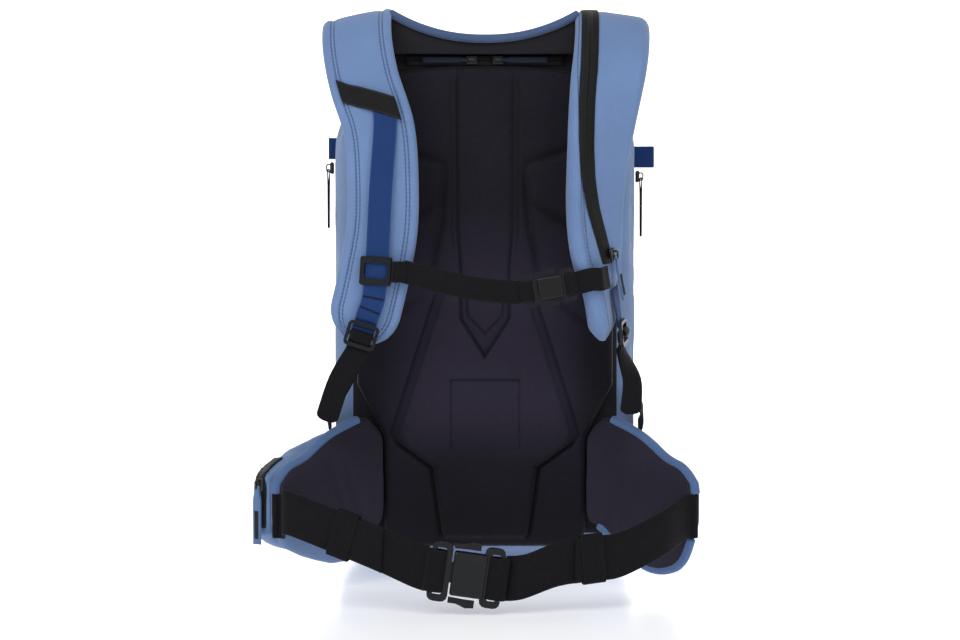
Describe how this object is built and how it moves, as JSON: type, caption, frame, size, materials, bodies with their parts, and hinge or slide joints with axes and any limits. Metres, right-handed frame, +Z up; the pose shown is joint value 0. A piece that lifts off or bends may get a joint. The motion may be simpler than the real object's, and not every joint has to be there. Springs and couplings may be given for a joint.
{
  "type": "avalanche airbag backpack",
  "caption": "Avalanche airbag backpack with moulded back panel, padded harness, trigger handle under a strap zip, gas cylinder, folded airbag, sternum strap and hip belt.",
  "frame": {"origin": "middle of the flat base of the bag, on the surface it stands on", "axes": "+Z up, the back panel and harness face -Y, +X is the side of the strap with the trigger"},
  "size_m": [0.3949, 0.3757, 0.5245],
  "materials": {
    "shell_fabric": "matte",
    "panel_foam": "matte",
    "strap_fabric": "matte",
    "navy_webbing": "matte",
    "black_webbing": "matte",
    "zip_tape": "matte",
    "zip_metal": "satin",
    "pull_fabric": "matte",
    "buckle_plastic": "satin",
    "frame_plastic": "matte",
    "cylinder_paint": "satin",
    "valve_metal": "satin",
    "bladder_fabric": "matte",
    "handle_plastic": "satin",
    "cable_sheath": "satin"
  },
  "bodies": {
    "pack": {"pack_shell": "shell_fabric", "front_pocket": "shell_fabric", "hip_pocket": "shell_fabric", "back_panel": "panel_foam", "neck_yoke": "panel_foam", "left_hip_fin": "panel_foam", "right_hip_fin": "panel_foam", "frame_sheet": "frame_plastic", "air_ejector": "frame_plastic", "left_shoulder_strap": "strap_fabric", "right_shoulder_strap": "strap_fabric", "left_strap_webbing": "navy_webbing", "right_strap_webbing": "navy_webbing", "side_tab_left": "navy_webbing", "side_tab_right": "navy_webbing", "left_lower_webbing": "black_webbing", "right_lower_webbing": "black_webbing", "left_hip_webbing": "black_webbing", "right_hip_webbing": "black_webbing", "left_belt_keeper": "black_webbing", "right_belt_keeper": "black_webbing", "strap_zip_tape": "zip_tape", "back_zip_tape": "zip_tape", "hip_buckle_female": "buckle_plastic", "gas_cylinder": "cylinder_paint", "valve_head": "valve_metal", "folded_airbag": "bladder_fabric", "trigger_cable": "cable_sheath"},
    "hip_male": {"hip_buckle_male": "buckle_plastic", "hip_webbing_turn": "black_webbing"},
    "hip_tab_upper": {"hip_release_tab_upper": "buckle_plastic"},
    "hip_tab_lower": {"hip_release_tab_lower": "buckle_plastic"},
    "sternum": {"sternum_slider": "buckle_plastic", "sternum_webbing_left": "black_webbing", "sternum_buckle_female": "buckle_plastic", "sternum_webbing_right": "black_webbing"},
    "sternum_male": {"sternum_buckle_male": "buckle_plastic"},
    "sternum_tab_upper": {"sternum_release_tab_upper": "buckle_plastic"},
    "sternum_tab_lower": {"sternum_release_tab_lower": "buckle_plastic"},
    "left_lock": {"left_ladder_lock": "buckle_plastic", "left_webbing_tail": "black_webbing"},
    "right_lock": {"right_ladder_lock": "buckle_plastic", "right_webbing_tail": "black_webbing"},
    "strap_slider": {"strap_zip_slider": "zip_metal"},
    "strap_pull": {"strap_zip_pull": "pull_fabric"},
    "back_slider_left": {"back_zip_slider_left": "zip_metal"},
    "back_pull_left": {"back_zip_pull_left": "pull_fabric"},
    "back_slider_right": {"back_zip_slider_right": "zip_metal"},
    "back_pull_right": {"back_zip_pull_right": "pull_fabric"},
    "side_slider_left": {"side_zip_slider_left": "zip_metal"},
    "side_pull_left": {"side_zip_pull_left": "pull_fabric"},
    "side_slider_right": {"side_zip_slider_right": "zip_metal"},
    "side_pull_right": {"side_zip_pull_right": "pull_fabric"},
    "front_slider": {"front_zip_slider": "zip_metal"},
    "front_pull": {"front_zip_pull": "pull_fabric"},
    "hip_slider": {"hip_pocket_slider": "zip_metal"},
    "hip_pull": {"hip_pocket_pull": "pull_fabric"},
    "trigger": {"trigger_handle": "handle_plastic"},
    "plunger": {"firing_plunger": "valve_metal"}
  },
  "joints": [
    {"name": "hip_buckle_release", "type": "slide", "parent": "pack", "child": "hip_male", "axis": [-0.9903, 0, 0.1392], "range_m": [0, 0.03], "deforming": ["left_hip_webbing"]},
    {"name": "hip_tab_upper_press", "type": "hinge", "parent": "hip_male", "child": "hip_tab_upper", "pos_m": [-0.02502, -0.25, 0.05817], "axis": [0, 1, 0], "range_deg": [0, 5], "stiffness_Nm_per_rad": 0.15},
    {"name": "hip_tab_lower_press", "type": "hinge", "parent": "hip_male", "child": "hip_tab_lower", "pos_m": [-0.03135, -0.25, 0.01311], "axis": [0, -1, 0], "range_deg": [0, 5], "stiffness_Nm_per_rad": 0.15},
    {"name": "sternum_height", "type": "slide", "parent": "pack", "child": "sternum", "axis": [0.0622, -0.0226, 0.9978], "range_m": [0, 0.025]},
    {"name": "sternum_buckle_release", "type": "slide", "parent": "sternum", "child": "sternum_male", "axis": [-0.9863, 0, -0.165], "range_m": [0, 0.022], "deforming": ["sternum_webbing_left"]},
    {"name": "sternum_tab_upper_press", "type": "hinge", "parent": "sternum_male", "child": "sternum_tab_upper", "pos_m": [0.04364, -0.18, 0.28204], "axis": [0, 1, 0], "range_deg": [0, 5], "stiffness_Nm_per_rad": 0.1},
    {"name": "sternum_tab_lower_press", "type": "hinge", "parent": "sternum_male", "child": "sternum_tab_lower", "pos_m": [0.04789, -0.18, 0.25664], "axis": [0, -1, 0], "range_deg": [0, 5], "stiffness_Nm_per_rad": 0.1},
    {"name": "left_lock_tilt", "type": "hinge", "parent": "pack", "child": "left_lock", "pos_m": [-0.10531, -0.16431, 0.2383], "axis": [-0.9537, 0, 0.3007], "range_deg": [0, 35]},
    {"name": "right_lock_tilt", "type": "hinge", "parent": "pack", "child": "right_lock", "pos_m": [0.12193, -0.13961, 0.24079], "axis": [-0.2342, -0.9602, -0.1522], "range_deg": [0, 35]},
    {"name": "strap_zip_slide", "type": "slide", "parent": "pack", "child": "strap_slider", "axis": [-0.1625, -0.3363, 0.9276], "range_m": [0, 0.04]},
    {"name": "strap_pull_swing", "type": "hinge", "parent": "strap_slider", "child": "strap_pull", "pos_m": [0.11521, -0.15606, 0.29836], "axis": [-0.4068, -0.8337, -0.3735], "range_deg": [0, 90]},
    {"name": "back_zip_left_slide", "type": "slide", "parent": "pack", "child": "back_slider_left", "axis": [-1, 0, 0], "range_m": [0, 0.035]},
    {"name": "back_pull_left_swing", "type": "hinge", "parent": "back_slider_left", "child": "back_pull_left", "pos_m": [-0.01376, -0.09716, 0.478], "axis": [0, 0, 1], "range_deg": [0, 120]},
    {"name": "back_zip_right_slide", "type": "slide", "parent": "pack", "child": "back_slider_right", "axis": [1, 0, 0], "range_m": [0, 0.035]},
    {"name": "back_pull_right_swing", "type": "hinge", "parent": "back_slider_right", "child": "back_pull_right", "pos_m": [0.01376, -0.09716, 0.478], "axis": [0, 0, -1], "range_deg": [0, 120]},
    {"name": "side_zip_left_slide", "type": "slide", "parent": "pack", "child": "side_slider_left", "axis": [0, 0, -1], "range_m": [0, 0.14]},
    {"name": "side_pull_left_swing", "type": "hinge", "parent": "side_slider_left", "child": "side_pull_left", "pos_m": [-0.14806, -0.03, 0.38224], "axis": [0, 1, 0], "range_deg": [0, 120]},
    {"name": "side_zip_right_slide", "type": "slide", "parent": "pack", "child": "side_slider_right", "axis": [0, 0, -1], "range_m": [0, 0.14]},
    {"name": "side_pull_right_swing", "type": "hinge", "parent": "side_slider_right", "child": "side_pull_right", "pos_m": [0.14806, -0.03, 0.37424], "axis": [0, -1, 0], "range_deg": [0, 120]},
    {"name": "front_zip_slide", "type": "slide", "parent": "pack", "child": "front_slider", "axis": [0, -0.0963, 0.9954], "range_m": [0, 0.17]},
    {"name": "front_pull_swing", "type": "hinge", "parent": "front_slider", "child": "front_pull", "pos_m": [-0.07, 0.11514, 0.14149], "axis": [1, 0, 0], "range_deg": [0, 120]},
    {"name": "hip_pocket_zip_slide", "type": "slide", "parent": "pack", "child": "hip_slider", "axis": [0, 0, -1], "range_m": [0, 0.03]},
    {"name": "hip_pull_swing", "type": "hinge", "parent": "hip_slider", "child": "hip_pull", "pos_m": [-0.19888, -0.17119, 0.09724], "axis": [-0.8209, 0.5711, 0], "range_deg": [0, 120]},
    {"name": "trigger_pull", "type": "slide", "parent": "pack", "child": "trigger", "axis": [0.0855, -0.0005, -0.9963], "range_m": [0, 0.02], "stiffness_N_per_m": 400},
    {"name": "firing_plunger_slide", "type": "slide", "parent": "pack", "child": "plunger", "axis": [0, 0, 1], "range_m": [0, 0.02]}
  ],
  "couplings": [
    {"joint": "firing_plunger_slide", "follows": "trigger_pull", "ratio": 1}
  ]
}
